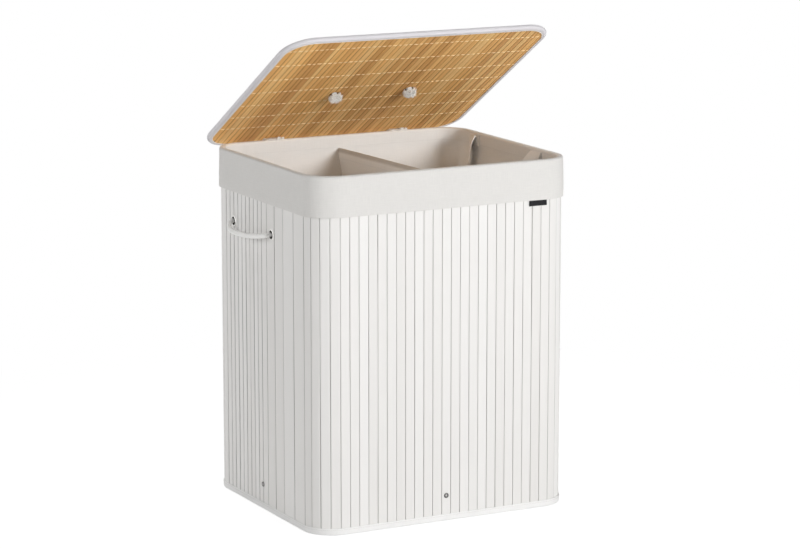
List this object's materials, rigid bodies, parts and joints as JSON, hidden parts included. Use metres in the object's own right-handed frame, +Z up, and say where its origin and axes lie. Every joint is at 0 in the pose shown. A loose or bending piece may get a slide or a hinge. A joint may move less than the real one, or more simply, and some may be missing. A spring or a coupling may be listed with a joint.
{
  "type": "laundry hamper with two bins",
  "caption": "Upright slatted bamboo laundry hamper with a fabric liner split by a divider, rope side handles and a lid hinged on cloth tapes.",
  "frame": {"origin": "on the floor, under the middle of the whole outline with the lid partly open", "axes": "+Z up, front towards -Y, the lid hinges at the back (+Y), the bins lie side by side along X"},
  "size_m": [0.5678, 0.4739, 0.8892],
  "materials": {
    "painted_bamboo": "white painted bamboo, satin, with faint grain",
    "natural_bamboo": "natural golden brown bamboo strips, satin",
    "fibreboard": "plain fibreboard, matt",
    "liner_fabric": "plain woven cotton and polyester, light warm grey, matt",
    "binding_fabric": "folded woven tape, pale grey, matt",
    "lid_binding_fabric": "folded woven tape, light cool grey, matt",
    "cotton_rope": "twisted cotton rope, off-white",
    "webbing": "woven tape, light warm grey, matt",
    "nickel": "nickel-plated, lightly worn",
    "woven_tag": "black woven tape, matt"
  },
  "bodies": {
    "hamper": {"front_slat_mat": "painted_bamboo", "back_slat_mat": "painted_bamboo", "left_slat_mat": "painted_bamboo", "right_slat_mat": "painted_bamboo", "front_left_corner_slats": "painted_bamboo", "front_right_corner_slats": "painted_bamboo", "back_left_corner_slats": "painted_bamboo", "back_right_corner_slats": "painted_bamboo", "backing_cloth": "liner_fabric", "bottom_edge_binding": "binding_fabric", "top_edge_binding": "binding_fabric", "base_board": "fibreboard", "front_base_tab": "webbing", "back_base_tab": "webbing", "left_base_tab": "webbing", "right_base_tab": "webbing", "front_rivet": "nickel", "back_rivet": "nickel", "left_rivet": "nickel", "right_rivet": "nickel", "left_rear_eyelet": "nickel", "left_front_eyelet": "nickel", "right_rear_eyelet": "nickel", "right_front_eyelet": "nickel", "left_rear_rope_knot": "cotton_rope", "left_front_rope_knot": "cotton_rope", "right_rear_rope_knot": "cotton_rope", "right_front_rope_knot": "cotton_rope", "liner_cuff": "liner_fabric", "liner_bag": "liner_fabric", "liner_divider": "liner_fabric", "divider_hem": "liner_fabric", "left_strap_front_tab": "webbing", "left_strap_back_tab": "webbing", "right_strap_front_tab": "webbing", "right_strap_back_tab": "webbing", "side_tag": "woven_tag", "left_hinge_tape": "liner_fabric", "right_hinge_tape": "liner_fabric"},
    "lid": {"lid_underside_mat": "natural_bamboo", "lid_core_board": "fibreboard", "lid_slat_mat": "painted_bamboo", "lid_edge_binding": "lid_binding_fabric", "lid_left_rope_knot": "cotton_rope", "lid_right_rope_knot": "cotton_rope"},
    "lid_handle": {"lid_rope_handle": "cotton_rope"},
    "left_handle": {"left_rope_handle": "cotton_rope"},
    "right_handle": {"right_rope_handle": "cotton_rope"},
    "left_strap": {"left_carry_strap": "webbing"},
    "right_strap": {"right_carry_strap": "webbing"}
  },
  "joints": [
    {"name": "lid_hinge", "type": "hinge", "parent": "hamper", "child": "lid", "pos_m": [0, 0.21, 0.635], "axis": [-1, 0, 0], "range_deg": [-31, 84], "deforming": ["left_hinge_tape", "right_hinge_tape"]},
    {"name": "lid_handle_flip", "type": "hinge", "parent": "lid", "child": "lid_handle", "pos_m": [-0.006, 0.05601, 0.76509], "axis": [1, 0, 0], "range_deg": [0, 180]},
    {"name": "left_handle_swing", "type": "hinge", "parent": "hamper", "child": "left_handle", "pos_m": [-0.268, 0.0301, 0.5213], "axis": [0, 1, 0], "range_deg": [-34, 116]},
    {"name": "right_handle_swing", "type": "hinge", "parent": "hamper", "child": "right_handle", "pos_m": [0.268, 0.0301, 0.5213], "axis": [0, -1, 0], "range_deg": [-34, 116]},
    {"name": "left_strap_swing", "type": "hinge", "parent": "hamper", "child": "left_strap", "pos_m": [-0.2499, 0, 0.6262], "axis": [0, -1, 0], "range_deg": [0, 60]},
    {"name": "right_strap_swing", "type": "hinge", "parent": "hamper", "child": "right_strap", "pos_m": [0.2499, 0, 0.6262], "axis": [0, 1, 0], "range_deg": [0, 60]}
  ]
}
